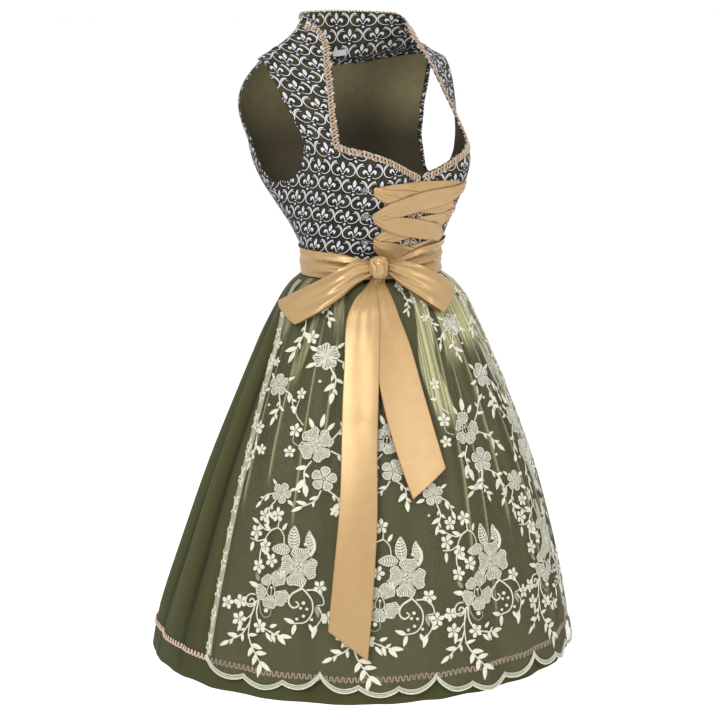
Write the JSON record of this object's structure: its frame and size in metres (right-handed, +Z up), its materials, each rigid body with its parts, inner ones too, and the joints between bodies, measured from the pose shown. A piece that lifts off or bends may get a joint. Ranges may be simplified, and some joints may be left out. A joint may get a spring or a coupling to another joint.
{
  "type": "dirndl dress",
  "caption": "Sleeveless dirndl dress with a printed laced bodice, stand collar, gathered satin skirt, embroidered lace apron, and a ribbon sash tied in a bow.",
  "frame": {"origin": "midway between the places where the two shoulder straps rest, where the dress is held", "axes": "+Z up along the dress from hem to collar, -Y out of the dress's front, -X to the wearer's right"},
  "size_m": [0.7185, 0.7177, 1.0505],
  "materials": {
    "print": "matt",
    "lining": "matt",
    "skirt_satin": "satin",
    "lace": "matt",
    "ribbon": "satin",
    "braid": "matt",
    "silver": "satin",
    "label": "matt",
    "zip": "matt"
  },
  "bodies": {
    "root": {"apron": "lace", "bodice_back": "print", "bodice_front_left": "print", "bodice_front_right": "print", "bow_knot": "ribbon", "bow_loop_left": "ribbon", "bow_loop_right": "ribbon", "bow_tail_long": "ribbon", "bow_tail_short": "ribbon", "braid_collar": "braid", "braid_hem": "braid", "braid_neck_left": "braid", "braid_neck_right": "braid", "collar_back": "print", "lace_hook_left_1": "silver", "lace_hook_left_2": "silver", "lace_hook_left_3": "silver", "lace_hook_right_1": "silver", "lace_hook_right_2": "silver", "lace_hook_right_3": "silver", "lacing_cross_1a": "ribbon", "lacing_cross_1b": "ribbon", "lacing_cross_2a": "ribbon", "lacing_cross_2b": "ribbon", "lacing_cross_3a": "ribbon", "lacing_cross_3b": "ribbon", "lacing_top": "ribbon", "lining_back": "lining", "lining_front_left": "lining", "lining_front_right": "lining", "neck_label": "label", "skirt_back": "skirt_satin", "skirt_front": "skirt_satin", "waist_sash": "ribbon", "zip_slider": "zip", "zip_tape": "zip"}
  },
  "joints": []
}
